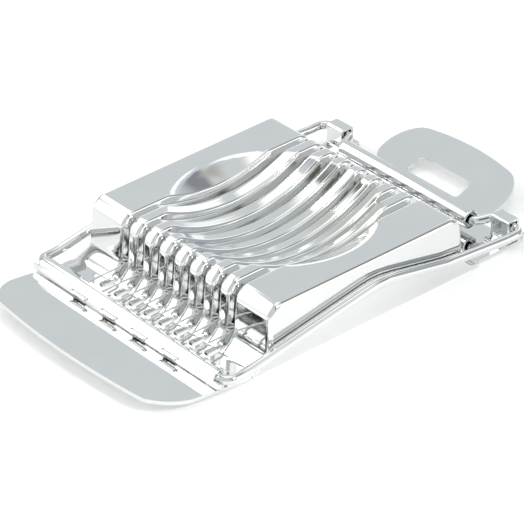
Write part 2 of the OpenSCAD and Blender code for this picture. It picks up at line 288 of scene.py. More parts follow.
@dataclass
class Studio:
    """Pale floor, soft lights and the camera."""

    floor_size: float = 3.0
    floor_tones: tuple[tuple[float, float, float], ...] = ((0.90, 0.90, 0.895), (0.93, 0.93, 0.925))
    floor_grain: float = 300.0
    floor_glow: float = 0.20
    room: tuple[float, float, float] = (0.74, 0.785, 0.80)
    panels: tuple[Panel, ...] = (
        Panel(-76.0, 22.0, 14.0, 20.0, (0.68, 0.69, 0.64), 6.0),
        Panel(66.0, 36.0, 25.0, 26.0, (0.92, 0.93, 0.89), 6.0),
        Panel(15.0, 22.0, 22.0, 20.0, (0.46, 0.50, 0.54), 5.0),
        Panel(-55.0, 75.0, 52.0, 15.0, (1.5, 1.5, 1.5), 4.0),
        Panel(0.0, 90.0, 200.0, 12.0, (1.5, 1.5, 1.5), 4.0),
        Panel(-131.0, 25.0, 17.0, 25.0, (2.0, 2.0, 1.97), 4.0),
        Panel(-116.0, 64.0, 18.0, 5.0, (0.22, 0.22, 0.18), 4.0),
        Panel(-97.0, 34.0, 5.0, 12.0, (0.20, 0.20, 0.16), 3.0),
        Panel(-22.0, 28.0, 6.0, 20.0, (1.5, 1.5, 1.5), 3.0),
        Panel(4.0, 46.0, 9.0, 7.0, (0.30, 0.31, 0.34), 3.0),
        Panel(20.0, 54.0, 13.0, 8.0, (0.55, 0.545, 0.50), 4.0),
        Panel(37.0, 46.0, 6.0, 8.0, (0.06, 0.058, 0.045), 3.0),
        Panel(54.0, 10.0, 11.0, 16.0, (2.0, 2.0, 1.97), 4.0),
        Panel(-57.0, 2.0, 9.0, 12.0, (1.7, 1.7, 1.7), 3.0),
        Panel(97.0, 35.0, 4.0, 16.0, (0.04, 0.04, 0.03), 2.0),
        Panel(110.0, 60.0, 10.0, 8.0, (0.18, 0.19, 0.15), 3.0),
    )
    spot_place: tuple[float, float, float] = (0.45, 0.05, 0.40)
    spot_aim: tuple[float, float, float] = (0.055, -0.022, 0.0)
    spot_cone: float = 13.0
    spot_power: float = 11.0
    spot_softness: float = 0.06
    azimuth: float = 48.28
    elevation: float = 32.84
    distance: float = 0.6956
    lens: float = 197.9
    sensor: float = 36.0
    shift: tuple[float, float] = (-0.0238, 0.0035)

    def build(self) -> None:
        """Makes the floor, the surroundings, the lights and the camera."""
        self.floor()
        self.surroundings()
        self.softbox("left_top_light", azimuth=-100.0, elevation=50.0, distance=0.33,
                     size=(0.24, 0.07), power=0.12)
        self.spot("right_floor_light")
        self.camera()

    def floor(self) -> None:
        """Makes the floor that the slicer stands on."""
        bm = bmesh.new()
        bmesh.ops.create_grid(bm, x_segments=1, y_segments=1, size=self.floor_size)
        mesh = bpy.data.meshes.new("floor")
        bm.to_mesh(mesh)
        bm.free()
        floor = bpy.data.objects.new("floor", mesh)
        bpy.context.scene.collection.objects.link(floor)
        mat = bpy.data.materials.new("pale_floor")
        mat.use_nodes = True
        nodes, links = mat.node_tree.nodes, mat.node_tree.links
        shader = nodes["Principled BSDF"]
        grain = nodes.new("ShaderNodeTexNoise")
        grain.inputs["Scale"].default_value = self.floor_grain
        ramp = nodes.new("ShaderNodeValToRGB")
        for stop, tone in zip(ramp.color_ramp.elements, self.floor_tones):
            stop.color = (*tone, 1.0)
        links.new(grain.outputs["Fac"], ramp.inputs["Fac"])
        links.new(ramp.outputs["Color"], shader.inputs["Base Color"])
        shader.inputs["Roughness"].default_value = 0.9
        shader.inputs["Specular IOR Level"].default_value = 0.1
        shader.inputs["Emission Color"].default_value = (1.0, 1.0, 0.99, 1.0)
        shader.inputs["Emission Strength"].default_value = self.floor_glow
        mesh.materials.append(mat)

    def surroundings(self) -> None:
        """Makes the studio round the slicer: a grey room with its white and dark panels."""
        world = bpy.data.worlds.new("studio")
        bpy.context.scene.world = world
        world.use_nodes = True
        nodes, links = world.node_tree.nodes, world.node_tree.links
        coords = nodes.new("ShaderNodeTexCoord")
        split = nodes.new("ShaderNodeSeparateXYZ")
        links.new(coords.outputs["Generated"], split.inputs["Vector"])
        turn = math_node(world.node_tree, "ARCTAN2", split.outputs["X"], split.outputs["Y"])
        height = math_node(world.node_tree, "ARCSINE", split.outputs["Z"])
        colour = nodes.new("ShaderNodeRGB").outputs[0]
        colour.default_value = (*self.room, 1.0)
        for panel in self.panels:
            colour = panel.hang(world.node_tree, turn, height, colour)
        links.new(colour, nodes["Background"].inputs["Color"])

    def softbox(self, name: str, azimuth: float, elevation: float, distance: float,
                size: tuple[float, float], power: float) -> None:
        """Hangs a rectangular light that faces the slicer.

        Args:
            name: the light's name.
            azimuth: where it hangs, in degrees from the rear towards the right.
            elevation: its height above the floor, in degrees.
            distance: from the slicer, in metres.
            size: width and height, in metres.
            power: in watts.
        """
        light = bpy.data.lights.new(name, "AREA")
        light.shape = "RECTANGLE"
        light.size, light.size_y = size
        light.energy = power
        a, e = math.radians(azimuth), math.radians(elevation)
        place = Vector((math.sin(a) * math.cos(e), math.cos(a) * math.cos(e), math.sin(e))) * distance
        self.hang_light(light, place, -place)

    def spot(self, name: str) -> None:
        """Hangs a soft spot that lights the floor beside the slicer's right side.

        Args:
            name: the light's name.
        """
        light = bpy.data.lights.new(name, "SPOT")
        light.energy = self.spot_power
        light.spot_size = math.radians(self.spot_cone)
        light.spot_blend = 1.0
        light.shadow_soft_size = self.spot_softness
        place = Vector(self.spot_place)
        self.hang_light(light, place, Vector(self.spot_aim) - place)

    @staticmethod
    def hang_light(light: bpy.types.Light, place: Vector, way: Vector) -> None:
        """Hangs a light.

        Args:
            light: the light.
            place: where it hangs.
            way: the direction that it faces.
        """
        lamp = bpy.data.objects.new(light.name, light)
        lamp.location = place
        lamp.rotation_euler = way.to_track_quat("-Z", "Y").to_euler()
        bpy.context.scene.collection.objects.link(lamp)

    def camera(self) -> None:
        """Sets up the camera, aimed at the middle of the egg cup."""
        data = bpy.data.cameras.new("camera")
        data.lens = self.lens
        data.sensor_width = self.sensor
        data.shift_x, data.shift_y = self.shift
        data.clip_start = 0.01
        data.dof.use_dof = False
        camera = bpy.data.objects.new("camera", data)
        a, e = math.radians(self.azimuth), math.radians(self.elevation)
        forward = Vector((-math.sin(a) * math.cos(e), math.cos(a) * math.cos(e), -math.sin(e)))
        camera.location = Vector((0.0, -MID_Y * MM, 0.0)) - forward * self.distance
        camera.rotation_euler = forward.to_track_quat("-Z", "Y").to_euler()
        bpy.context.scene.collection.objects.link(camera)
        bpy.context.scene.camera = camera
        bpy.context.scene.view_settings.view_transform = "Standard"


@dataclass(frozen=True)
class Row:
    """One line of the pressed sheet, across its width."""

    y: float
    z: float
    ny: float
    nz: float
    kind: RowKind
    along: float = 0.0


@dataclass
class Edge:
    """A rolled edge at one point: where it starts, which way it goes, and how far it turns."""

    start: Vector
    normal: Vector
    way: Vector
    lean: float
    radius: float
    low: Vector
    turn: float = math.pi / 2

    def at(self, share: float) -> Vector:
        """Gives a point of the rolled edge.

        Args:
            share: 0 at its start and 1 where it has turned as far as it goes.

        Returns:
            The point, in millimetres.
        """
        def out(angle: float) -> Vector:
            """Gives the direction outwards at an angle round the edge."""
            return self.way * math.sin(angle) + self.normal * math.cos(angle)

        centre = self.start - out(self.lean) * self.radius
        return centre + out(self.lean + (self.turn - self.lean) * share) * self.radius


Column = tuple[ColumnKind, int, float]


@dataclass
class SheetGrid:
    """The sheet while it is worked, with the row and column that each vertex lies on."""

    bm: bmesh.types.BMesh
    weight: bmesh.types.BMLayerItem
    rows: list[Row]
    columns: list[Column]
    cell: dict[bmesh.types.BMVert, tuple[int, int]] = field(default_factory=dict)
    edges: dict[bmesh.types.BMVert, Edge] = field(default_factory=dict)

    def ends(self) -> list[int]:
        """Lists the two rows that the slots end on."""
        return [i for i, row in enumerate(self.rows) if row.kind is RowKind.END]


@dataclass
class PressedBase:
    """The base: a front tab, a block of ribs over an egg cup, the hinge ears and a rear tab."""

    sheet: float = SHEET
    front_reach: float = 65.0
    rear_reach: float = 67.6
    front_half: float = 33.1
    front_corner: float = 13.0
    front_slope: float = math.radians(8.0)
    front_bow: float = 198.6
    rear_half: float = 20.8
    rear_corner: float = 11.0
    rear_heel: float = 4.6
    rear_slope: float = math.radians(19.0)
    rear_bow: float = 74.88
    neck_half: float = 16.0
    window_half: float = 9.1
    window_length: float = 6.0
    window_start: float = 1.6
    block_height: float = 16.4
    block_half_length: float = 30.0
    block_half_width: float = 32.3
    flare: float = 1.4
    end_draft: float = math.radians(5.0)
    side_draft: float = math.radians(2.0)
    crest: float = 4.0
    side_edge: float = 1.2
    side_edge_low: float = 0.15
    edge_rise: float = 3.0
    foot: float = 5.0
    cup_length: float = 52.4
    cup_width: float = 50.8
    cup_depth: float = 7.8
    cup_rim: float = 0.8
    pitch: float = PITCH
    wires: int = WIRES
    slot_half: float = 1.0
    slot_lean: float = 0.5
    slot_low: float = 0.4
    slot_turn: float = math.radians(65.0)
    edge_depth: float = 2.2
    shoulder: float = 0.9
    shoulder_flat: float = 0.4
    ear_x: float = 32.8
    ear_y: float = 53.48
    ear_inner: float = 25.8
    notch_y: float = 49.5
    rear_bend: float = 51.3
    grid_end: float = 40.0
    top_step: float = 0.7
    outer_columns: int = 15
    roll_steps: int = 5
    foot_steps: int = 12
    wall_steps: int = 4
    crest_steps: int = 17
    slot_past_foot: float = 1.2
    bend_past_foot: float = 3.0
    ear_step: float = 0.4
    front_step: float = 0.12
    ear_corners: tuple[float, ...] = (2.0, 2.0, 1.0, 0.6)
    window_corners: tuple[float, float] = (2.0, 1.0)
    bend_radius: float = 0.7
    slot_thickness: float = 0.6
    merge: float = 0.0005

    def __post_init__(self) -> None:
        """Works out the places that follow from the sizes."""
        self.foot_y = self.wall_y(self.sheet + self.foot) + self.foot / math.cos(self.end_draft)
        self.slot_end = self.foot_y + self.slot_past_foot
        self.front_bend = self.foot_y + self.bend_past_foot
        crest_z = self.block_height - self.crest
        self.crest_y = self.wall_y(crest_z) - self.crest / math.cos(self.end_draft)
        half_width = self.cup_width / 2
        self.cup_rise = (half_width ** 2 / self.cup_depth - self.cup_depth) / 2
        self.cup_radius = self.cup_rise + self.cup_depth
        self.cup_arc = ((self.cup_length / 2) ** 2 + self.cup_depth ** 2) / (2 * self.cup_depth)

    def wall_y(self, z: float) -> float:
        """Gives how far an end wall stands from the middle at height z."""
        return self.block_half_length + (self.block_height - z) * math.tan(self.end_draft)

    def side_x(self, y: float, z: float) -> float:
        """Gives how far a side wall stands from the middle line at y and height z."""
        lean = (self.block_height - z) * math.tan(self.side_draft)
        return self.block_half_width + lean + self.flare / 4 + y * self.flare / (4 * self.block_half_length)

    def cup_drop(self, x: float, y: float, extra: float = 0.0) -> float:
        """Gives how far the cup lies under the block's top.

        Args:
            x: place across the block.
            y: place along the block.
            extra: makes the cup larger all round by this much.

        Returns:
            The depth, with the rim rounded over.
        """
        arc = self.cup_arc + extra
        radius = self.cup_radius - self.cup_arc + math.sqrt(max(arc ** 2 - x ** 2, 0.0))
        drop = math.sqrt(max(radius ** 2 - y ** 2, 0.0)) - self.cup_rise - extra
        share = min(max(0.5 + 0.5 * drop / self.cup_rim, 0.0), 1.0)
        return drop * share + self.cup_rim * share * (1 - share)

    def rows(self) -> list[Row]:
        """Lists the lines of the sheet from the front tip to the sheet behind the block."""
        half: list[Row] = []
        for y in (self.slot_end, self.foot_y + 0.55):
            kind = RowKind.END if y == self.slot_end else RowKind.FLAT
            half.append(Row(y, self.sheet, 0.0, 1.0, kind))
        foot_z = self.sheet + self.foot
        for k in range(self.foot_steps + 1):
            a = math.pi / 2 - (math.pi / 2 - self.end_draft) * k / self.foot_steps
            half.append(Row(self.foot_y - self.foot * math.cos(a), foot_z - self.foot * math.sin(a),
                            math.cos(a), math.sin(a), RowKind.BLOCK))
        low, high = half[-1].z, self.block_height - self.crest + self.crest * math.sin(self.end_draft)
        for k in range(1, self.wall_steps):
            z = low + (high - low) * k / self.wall_steps
            half.append(Row(self.wall_y(z), z, math.cos(self.end_draft), math.sin(self.end_draft),
                            RowKind.BLOCK))
        for k in range(self.crest_steps + 1):
            a = self.end_draft + (math.pi / 2 - self.end_draft) * k / self.crest_steps
            half.append(Row(self.crest_y + self.crest * math.cos(a),
                            self.block_height - self.crest + self.crest * math.sin(a),
                            math.cos(a), math.sin(a), RowKind.BLOCK))
        count = round(2 * self.crest_y / self.top_step)
        top = [Row(-self.crest_y + 2 * self.crest_y * k / count, self.block_height, 0.0, 1.0,
                   RowKind.TOP) for k in range(1, count)]
        front = [Row(-r.y, r.z, -r.ny, r.nz, r.kind) for r in half]
        tab = [Row(0.0, 0.0, 0.0, 1.0, RowKind.TAB, share)
               for share in (1.0, 0.8, 0.6, 0.4, 0.2, 0.07, 0.012)]
        bend = [Row(-self.front_bend + 0.1, self.sheet, 0.0, 1.0, RowKind.FLAT)]
        rear = [Row(self.grid_end, self.sheet, 0.0, 1.0, RowKind.FLAT)]
        return tab + bend + front + top + half[::-1] + rear

    def edge_radius(self, row: Row, low: float, high: float) -> float:
        """Gives an edge's radius on a row, from low at the sheet to high up the wall."""
        rise = min(max((row.z - self.sheet) / self.edge_rise, 0.0), 1.0)
        return low + (high - low) * rise

    def roll_radius(self, row: Row) -> float:
        """Gives the radius of a slot's rolled edge on a row."""
        return self.edge_radius(row, self.shoulder_flat, self.shoulder)

    def side_radius(self, row: Row) -> float:
        """Gives the radius of the block's side edge on a row."""
        return self.edge_radius(row, self.side_edge_low, self.side_edge)

    def surface(self, x: float, row: Row) -> Vector:
        """Gives a point of the sheet's upper face.

        Args:
            x: place across the sheet.
            row: the row that it lies on.

        Returns:
            The point, in millimetres.
        """
        if row.kind is RowKind.TAB:
            down, out = math.sin(self.front_slope), math.cos(self.front_slope)
            length = (self.front_reach - self.front_bend) / out
            tip = length - self.front_bow + math.sqrt(self.front_bow ** 2 - x ** 2)
            past = x - (self.front_half - self.front_corner)
            if past > 0:
                rounding = math.sqrt(max(self.front_corner ** 2 - past ** 2, 0.0))
                tip = min(tip, length - self.front_corner + rounding)
            v = row.along * tip
            return Vector((x, -self.front_bend + self.sheet * down - v * out, v * down + self.sheet * out))
        drop = self.cup_drop(x, row.y) if row.kind is RowKind.TOP else 0.0
        return Vector((x, row.y, row.z - drop))

    def normals(self, x: float, row: Row) -> tuple[Vector, float]:
        """Gives which way the sheet faces.

        Args:
            x: place across the sheet.
            row: the row that it lies on.

        Returns:
            The normal in the section across X, and its lean towards +X.
        """
        if row.kind is not RowKind.TOP:
            return Vector((0.0, row.ny, row.nz)), 0.0
        h = 0.02
        rise_x = (self.cup_drop(x + h, row.y) - self.cup_drop(x - h, row.y)) / (2 * h)
        rise_y = (self.cup_drop(x, row.y + h) - self.cup_drop(x, row.y - h)) / (2 * h)
        section = Vector((0.0, rise_y, 1.0)).normalized()
        return section, math.atan2(rise_x, math.hypot(rise_y, 1.0))

    def border_x(self, row: Row) -> float:
        """Gives where the upper face ends at the side on a row."""
        if row.kind in (RowKind.BLOCK, RowKind.TOP):
            radius = self.side_radius(row)
            return self.side_x(row.y, row.z - radius * row.nz) - radius
        if row.y > 0:
            return self.ear_x + (self.ear_step if row.y < self.slot_end else 0.0)
        return self.front_half - (self.front_step if row.y > -self.slot_end else 0.0)

    def low_point(self, wall_x: float, start: Vector, normal: Vector, row: Row) -> Vector:
        """Gives the foot of a slot's turned-down edge.

        Args:
            wall_x: place across the sheet.
            start: where the edge leaves the upper face.
            normal: which way the sheet faces there.
            row: the row that it lies on.

        Returns:
            The point, in millimetres.
        """
        if row.kind is RowKind.TOP:
            drop = self.cup_drop(wall_x, row.y, self.edge_depth)
            return Vector((wall_x, row.y, self.block_height - self.edge_depth - max(drop, 0.0)))
        depth = min(self.edge_depth, (start.z - self.slot_low) / max(normal.z, 0.05))
        return Vector((wall_x, start.y - normal.y * depth, start.z - normal.z * depth))

    def columns(self) -> list[Column]:
        """Lists the columns of the right half, from the middle line outwards."""
        last = self.wires // 2 - 1
        found: list[Column] = [(ColumnKind.MIDDLE, 0, share) for share in (0.0, 0.5)]
        for n in range(last + 1):
            found += [(ColumnKind.SLOT, n, k) for k in range(-3, 4)]
            if n < last:
                found += [(ColumnKind.RIB, n, share) for share in (1 / 3, 2 / 3)]
        for k in range(1, self.outer_columns + 1):
            found.append((ColumnKind.OUTER, last, math.sin(k / self.outer_columns * math.pi / 2)))
        return found

    def slot_x(self, n: int) -> float:
        """Gives the middle of the n-th slot right of the middle line, from 0."""
        return (n + 0.5) * self.pitch

    def slot_side(self, n: int, side: int, row: Row) -> float:
        """Gives where the flat of a rib ends beside a slot.

        Args:
            n: the slot.
            side: 1 for its right side and -1 for its left.
            row: the row that it lies on.

        Returns:
            The place across the sheet.
        """
        radius = self.roll_radius(row)
        wall = self.slot_x(n) + side * self.slot_half
        _, lean = self.normals(wall + side * radius, row)
        return wall + side * radius * (1 + side * math.sin(lean))

    def column_x(self, column: Column, row: Row) -> float:
        """Gives where a column crosses a row.

        Args:
            column: the column.
            row: the row.

        Returns:
            The place across the sheet.
        """
        kind, n, share = column
        if kind is ColumnKind.MIDDLE:
            return self.slot_side(0, -1, row) * share
        if kind is ColumnKind.SLOT:
            middle = self.slot_x(n)
            side = -1 if share < 0 else 1
            return middle + abs(self.slot_side(n, side, row) - middle) * math.sin(share * math.pi / 6)
        start = self.slot_side(n, 1, row)
        end = self.slot_side(n + 1, -1, row) if kind is ColumnKind.RIB else self.border_x(row)
        return start + (end - start) * share

    def build(self) -> bmesh.types.BMesh:
        """Presses the sheet.

        Returns:
            The upper face of the whole base, in millimetres.
        """
        bm = bmesh.new()
        work = SheetGrid(bm, bm.verts.layers.deform.verify(), self.rows(), self.columns())
        across, along = len(work.columns) - 1, len(work.rows) - 1
        grid = bmesh.ops.create_grid(bm, x_segments=across, y_segments=along, size=1.0)["verts"]
        for v in grid:
            work.cell[v] = (round((v.co.y + 1) / 2 * along), round((v.co.x + 1) / 2 * across))
        for v, (i, j) in work.cell.items():
            row, column = work.rows[i], work.columns[j]
            v.co = self.surface(self.column_x(column, row), row)
            if row.kind is RowKind.END and column[0] is ColumnKind.SLOT:
                reach = self.slot_half + self.roll_radius(row)
                v.co.y += math.copysign(reach * math.cos(column[2] * math.pi / 6), row.y)
            v[work.weight][0] = 1.0
        self.cut_slots(work)
        self.roll_slots(work)
        self.hang_sides(work)
        self.rear_sheet(work)
        bmesh.ops.remove_doubles(bm, verts=bm.verts, dist=self.merge)
        everything = bm.verts[:] + bm.edges[:] + bm.faces[:]
        bmesh.ops.mirror(bm, geom=everything, axis="X", merge_dist=0.001)
        bmesh.ops.remove_doubles(bm, verts=bm.verts, dist=self.merge)
        bmesh.ops.recalc_face_normals(bm, faces=bm.faces)
        flat = [f for f in bm.faces if abs(f.normal.z) > 0.99 and f.calc_area() > 0.5]
        if sum(f.normal.z for f in flat) < 0:
            bmesh.ops.reverse_faces(bm, faces=bm.faces)
        return bm

    @staticmethod
    def cut_slots(work: SheetGrid) -> None:
        """Cuts the slots out of the grid.

        Args:
            work: the sheet.
        """
        ends = work.ends()
        gone = []
        for face in work.bm.faces:
            spots = [work.cell[v] for v in face.verts]
            inside = all(ends[0] <= i <= ends[1] for i, _ in spots)
            one_slot = all(work.columns[j][0] is ColumnKind.SLOT for _, j in spots)
            if inside and one_slot and len({work.columns[j][1] for _, j in spots}) == 1:
                gone.append(face)
        bmesh.ops.delete(work.bm, geom=gone, context="FACES")
        for v in [v for v in work.cell if not v.is_valid]:
            del work.cell[v]

    def roll_slots(self, work: SheetGrid) -> None:
        """Rolls the edges of the slots over and turns them down.

        Args:
            work: the sheet.
        """
        ends = work.ends()

        def on_slot(v: bmesh.types.BMVert) -> bool:
            """Tells whether a vertex lies on the border of a slot."""
            i, j = work.cell[v]
            kind, _, share = work.columns[j]
            beside = ends[0] < i < ends[1] and abs(share) == 3
            return kind is ColumnKind.SLOT and (i in ends or beside)

        border = [e for e in work.bm.edges if len(e.link_faces) == 1 and all(on_slot(v) for v in e.verts)]
        foot = self.slot_half - self.slot_lean
        for v in {v for e in border for v in e.verts}:
            i, j = work.cell[v]
            row, (_, n, share) = work.rows[i], work.columns[j]
            side = -1 if share < 0 else 1
            normal, lean = self.normals(v.co.x, row)
            if row.kind is RowKind.END:
                turn = share * math.pi / 6
                out = Vector((math.sin(turn), math.copysign(math.cos(turn), row.y), 0.0))
                way, lean = -out, 0.0
                low = Vector((self.slot_x(n), row.y, self.slot_low)) + out * foot
            else:
                way = Vector((-side, 0.0, 0.0))
                lean = -side * lean
                low = self.low_point(self.slot_x(n) + side * foot, v.co, normal, row)
            work.edges[v] = Edge(v.co.copy(), normal, way, lean, self.roll_radius(row), low, self.slot_turn)
        self.roll(work, border, self.slot_thickness)

    def hang_sides(self, work: SheetGrid) -> None:
        """Rolls the block's side edges over and brings the side walls down to the floor.

        Args:
            work: the sheet.
        """
        last = len(work.columns) - 1

        def on_side(v: bmesh.types.BMVert) -> bool:
            """Tells whether a vertex lies on the block's side edge."""
            i, j = work.cell.get(v, (0, -1))
            return j == last and work.rows[i].kind in (RowKind.BLOCK, RowKind.TOP)

        border = [e for e in work.bm.edges if all(on_side(v) for v in e.verts)]
        for v in {v for e in border for v in e.verts}:
            row = work.rows[work.cell[v][0]]
            radius = self.side_radius(row)
            normal = Vector((0.0, row.ny, row.nz))
            y = v.co.y - normal.y * radius
            work.edges[v] = Edge(v.co.copy(), normal, Vector((1.0, 0.0, 0.0)), 0.0, radius,
                                 Vector((self.side_x(y, 0.0), y, 0.0)))
        self.roll(work, border, 1.0)

    def roll(self, work: SheetGrid, border: list[bmesh.types.BMEdge], thickness: float) -> None:
        """Extrudes a border round its rolled edge and on to its low line.

        Args:
            work: the sheet.
            border: the edges to roll.
            thickness: share of the full thickness that is left there.
        """
        for step in range(1, self.roll_steps + 2):
            made = bmesh.ops.extrude_edge_only(work.bm, edges=border)["geom"]
            fresh = fresh_verts(made)
            for v in fresh:
                around = [e.other_vert(v) for e in v.link_edges]
                edge = work.edges[next(o for o in around if o in work.edges and o not in fresh)]
                work.edges[v] = edge
                v.co = edge.low if step > self.roll_steps else edge.at(step / self.roll_steps)
                v[work.weight][0] = thickness
            border = [e for e in made if isinstance(e, bmesh.types.BMEdge)
                      and all(v in fresh for v in e.verts)]

    def rear_sheet(self, work: SheetGrid) -> None:
        """Makes the flat sheet with the hinge ears, and the rear tab with its window.

        Args:
            work: the sheet.
        """
        bm = work.bm
        slope = self.rear_slope
        rise = self.sheet * (1 - math.cos(slope)) / math.sin(slope)
        bend_y = self.rear_bend + rise * math.cos(slope) - self.sheet * math.sin(slope)
        last = len(work.rows) - 1
        start = sorted((v for v, (i, _) in work.cell.items() if i == last), key=lambda v: v.co.x)
        corners = [(self.ear_x, self.ear_y), (self.ear_inner, self.ear_y),
                   (self.ear_inner, self.notch_y), (self.neck_half, self.notch_y),
                   (self.neck_half, bend_y), (0.0, bend_y)]
        made = [bm.verts.new((x, y, self.sheet)) for x, y in corners]
        bm.faces.new(start + made)
        for v, radius in zip(made, self.ear_corners):
            round_off(bm, [v], radius, 6, "VERTICES")

        length = (self.rear_reach - self.rear_bend) / math.cos(slope)
        w0 = self.window_start / math.cos(slope)
        w1 = w0 + self.window_length
        outline = [(0.0, rise, 0.0), (self.neck_half, rise, 0.0), (self.neck_half, rise + 0.1, 0.0),
                   (self.rear_half, rise + 0.1, self.rear_heel), (self.rear_half, length, self.rear_corner),
                   (0.0, length, 0.0), (0.0, w1, 0.0), (self.window_half, w1, self.window_corners[0]),
                   (self.window_half, w0, self.window_corners[1]), (0.0, w0, 0.0)]
        tab = bmesh.new()
        points = [tab.verts.new((x, y, 0.0)) for x, y, _ in outline]
        tab.faces.new(points)
        for v, (_, _, radius) in zip(points, outline):
            if radius:
                round_off(tab, [v], radius, 10, "VERTICES")
        tip = [e for e in tab.edges if all(v.co.y > length - 0.01 for v in e.verts)]
        long_tip = [e for e in tip if e.calc_length() > 2]
        bmesh.ops.subdivide_edges(tab, edges=long_tip, cuts=5)
        for v in tab.verts:
            bow = math.sqrt(self.rear_bow ** 2 - v.co.x ** 2)
            v.co.y = min(v.co.y, length - self.rear_bow + bow)
        place = (Matrix.Translation((0.0, self.rear_bend, 0.0)) @ Matrix.Rotation(slope, 4, "X")
                 @ Matrix.Translation((0.0, 0.0, self.sheet)))
        bmesh.ops.transform(tab, matrix=place, verts=tab.verts)
        mesh = bpy.data.meshes.new("rear_tab_outline")
        tab.to_mesh(mesh)
        tab.free()
        bm.from_mesh(mesh)
        bpy.data.meshes.remove(mesh)
        bmesh.ops.remove_doubles(bm, verts=bm.verts, dist=0.002)

        def on_bend(v: bmesh.types.BMVert) -> bool:
            """Tells whether a vertex lies on the rear tab's bend."""
            level = abs(v.co.z - self.sheet) < 0.01
            return level and abs(v.co.y - bend_y) < 0.01 and v.co.x < self.neck_half + 0.01

        bend = [e for e in bm.edges if all(on_bend(v) for v in e.verts)]
        round_off(bm, bend, self.bend_radius, 4)
        for v in bm.verts:
            if not v[work.weight]:
                v[work.weight][0] = 1.0


@dataclass
class RodPath:
    """A round rod through corner points, bent at each of them."""

    radius: float
    sides: int
    corners: list[tuple[Vector, float]]
    step_degrees: float = 7.5

    def build(self, bm: bmesh.types.BMesh) -> None:
        """Draws the rod into a bmesh.

        Args:
            bm: where the rod is made, in millimetres.
        """
        points = [p for p, _ in self.corners]
        heads = [(b - a).normalized() for a, b in zip(points, points[1:])]
        turns = [0.0] + [heads[i - 1].angle(heads[i]) for i in range(1, len(heads))] + [0.0]
        cuts = [r * math.tan(t / 2) for (_, r), t in zip(self.corners, turns)]
        start = Matrix.Translation(points[0]) @ heads[0].to_track_quat("Z", "Y").to_matrix().to_4x4()
        ring = bmesh.ops.create_circle(bm, cap_ends=True, radius=self.radius, segments=self.sides,
                                       matrix=start)["verts"]
        edges = list(dict.fromkeys(e for v in ring for e in v.link_edges))
        for i, head in enumerate(heads):
            run = (points[i + 1] - points[i]).length - cuts[i] - cuts[i + 1]
            if run > 0.001:
                edges, fresh = self.step(bm, edges)
                bmesh.ops.translate(bm, verts=fresh, vec=head * run)
            if turns[i + 1] > 0.001:
                after = heads[i + 1]
                axis = head.cross(after).normalized()
                bend = self.corners[i + 1][1]
                centre = points[i + 1] - head * cuts[i + 1] + axis.cross(head) * bend
                steps = max(3, round(math.degrees(turns[i + 1]) / self.step_degrees))
                for _ in range(steps):
                    edges, fresh = self.step(bm, edges)
                    bmesh.ops.rotate(bm, verts=fresh, cent=centre,
                                     matrix=Matrix.Rotation(turns[i + 1] / steps, 3, axis))
        bmesh.ops.contextual_create(bm, geom=edges)
        bmesh.ops.recalc_face_normals(bm, faces=bm.faces)

    @staticmethod
    def step(bm: bmesh.types.BMesh, edges: list) -> tuple[list, list]:
        """Extrudes the open ring once.

        Args:
            bm: the rod.
            edges: the ring's edges.

        Returns:
            The new ring's edges and its vertices.
        """
        made = bmesh.ops.extrude_edge_only(bm, edges=edges)["geom"]
        return [e for e in made if isinstance(e, bmesh.types.BMEdge)], fresh_verts(made)


